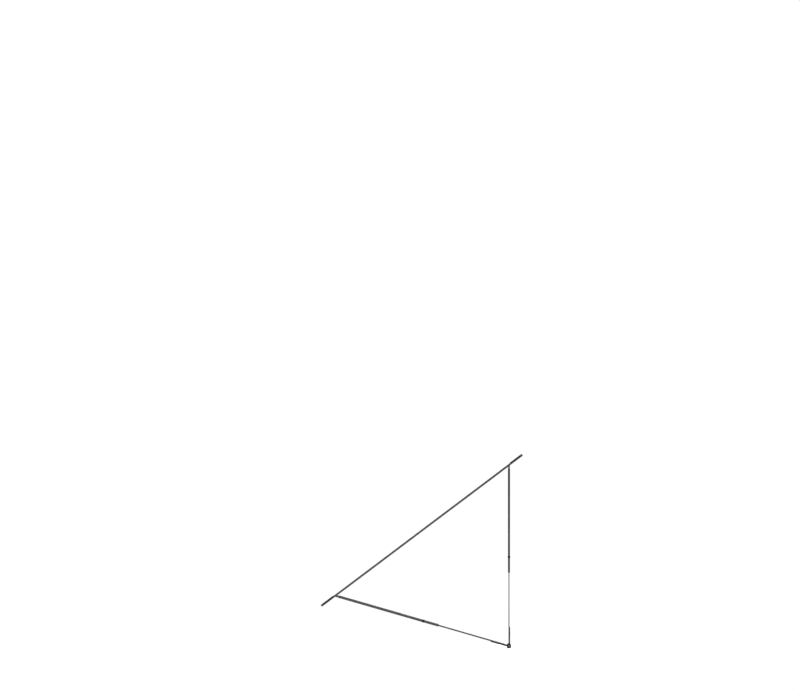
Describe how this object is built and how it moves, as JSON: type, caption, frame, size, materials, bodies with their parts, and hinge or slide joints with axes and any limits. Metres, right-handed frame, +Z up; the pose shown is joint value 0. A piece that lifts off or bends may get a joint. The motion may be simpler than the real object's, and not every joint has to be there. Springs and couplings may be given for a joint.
{
  "type": "laptop stand",
  "caption": "Ultra-thin folding stand bonded under a laptop: a flat base frame with two hinged telescoping legs that meet at a rubber-sleeved foot rod.",
  "frame": {"origin": "centre of the front adhesive pad's top face, where the laptop's underside meets the stand", "axes": "+X to the right of the person at the laptop, +Y to the rear, +Z up; the base frame tilts up to the rear at 36.95 degrees"},
  "size_m": [0.168, 0.1192, 0.1147],
  "materials": {
    "dark_metal": "satin dark grey coating on sheet steel and zinc",
    "steel": "fine brushed, bare steel",
    "rubber": "matt black silicone",
    "plastic": "satin black moulding"
  },
  "bodies": {
    "base_frame": {"base_front_bar": "dark_metal", "base_rear_bar": "dark_metal", "base_rail_left": "dark_metal", "base_rail_right": "dark_metal", "front_adhesive_pad": "rubber", "rear_adhesive_pad": "rubber", "front_hinge_pin": "steel", "rear_hinge_pin": "steel", "front_corner_rivet_left": "steel", "front_corner_rivet_right": "steel", "rear_corner_rivet_left": "steel", "rear_corner_rivet_right": "steel"},
    "rear_leg": {"rear_hinge_strap": "dark_metal", "rear_cross_bar": "dark_metal", "rear_leg_sleeve_left": "dark_metal", "rear_lock_housing_left": "dark_metal", "rear_detent_plug_left": "plastic", "rear_detent_spring_left": "steel", "rear_stop_rivet_left": "steel", "rear_leg_sleeve_right": "dark_metal", "rear_lock_housing_right": "dark_metal", "rear_detent_plug_right": "plastic", "rear_detent_spring_right": "steel", "rear_stop_rivet_right": "steel"},
    "front_leg": {"front_hinge_strap": "dark_metal", "front_cross_bar": "dark_metal", "front_leg_sleeve_left": "dark_metal", "front_lock_housing_left": "dark_metal", "front_detent_plug_left": "plastic", "front_detent_spring_left": "steel", "front_stop_rivet_left": "steel", "front_leg_sleeve_right": "dark_metal", "front_lock_housing_right": "dark_metal", "front_detent_plug_right": "plastic", "front_detent_spring_right": "steel", "front_stop_rivet_right": "steel"},
    "rear_slider": {"rear_slider_strip_left": "steel", "rear_foot_leaf_left": "dark_metal", "rear_leaf_rivet_inner_left": "steel", "rear_leaf_rivet_outer_left": "steel", "rear_slider_strip_right": "steel", "rear_foot_leaf_right": "dark_metal", "rear_leaf_rivet_inner_right": "steel", "rear_leaf_rivet_outer_right": "steel", "foot_rod_left": "steel", "foot_rubber_left": "rubber", "foot_rod_right": "steel", "foot_rubber_right": "rubber"},
    "front_slider": {"front_slider_strip_left": "steel", "front_foot_leaf_left": "dark_metal", "front_leaf_rivet_inner_left": "steel", "front_leaf_rivet_outer_left": "steel", "front_slider_strip_right": "steel", "front_foot_leaf_right": "dark_metal", "front_leaf_rivet_inner_right": "steel", "front_leaf_rivet_outer_right": "steel", "foot_rod_centre": "steel", "foot_rubber_centre": "rubber"}
  },
  "joints": [
    {"name": "rear_leg_fold", "type": "hinge", "parent": "base_frame", "child": "rear_leg", "pos_m": [0, 0.1074, 0.07984], "axis": [-1, 0, 0], "range_deg": [0, 53.05]},
    {"name": "front_leg_fold", "type": "hinge", "parent": "base_frame", "child": "front_leg", "pos_m": [0, 0.00479, 0.00266], "axis": [1, 0, 0], "range_deg": [0, 53.06]},
    {"name": "rear_leg_slide", "type": "slide", "parent": "rear_leg", "child": "rear_slider", "axis": [0, 0, 1], "range_m": [0, 0.0426]},
    {"name": "front_leg_slide", "type": "slide", "parent": "front_leg", "child": "front_slider", "axis": [0, -0.9608, 0.2773], "range_m": [0, 0.0426]}
  ],
  "couplings": [
    {"joint": "front_leg_fold", "follows": "rear_leg_fold", "ratio": 1},
    {"joint": "rear_leg_slide", "follows": "rear_leg_fold", "m_per_rad": 0.046011},
    {"joint": "front_leg_slide", "follows": "rear_leg_fold", "m_per_rad": 0.046011}
  ]
}
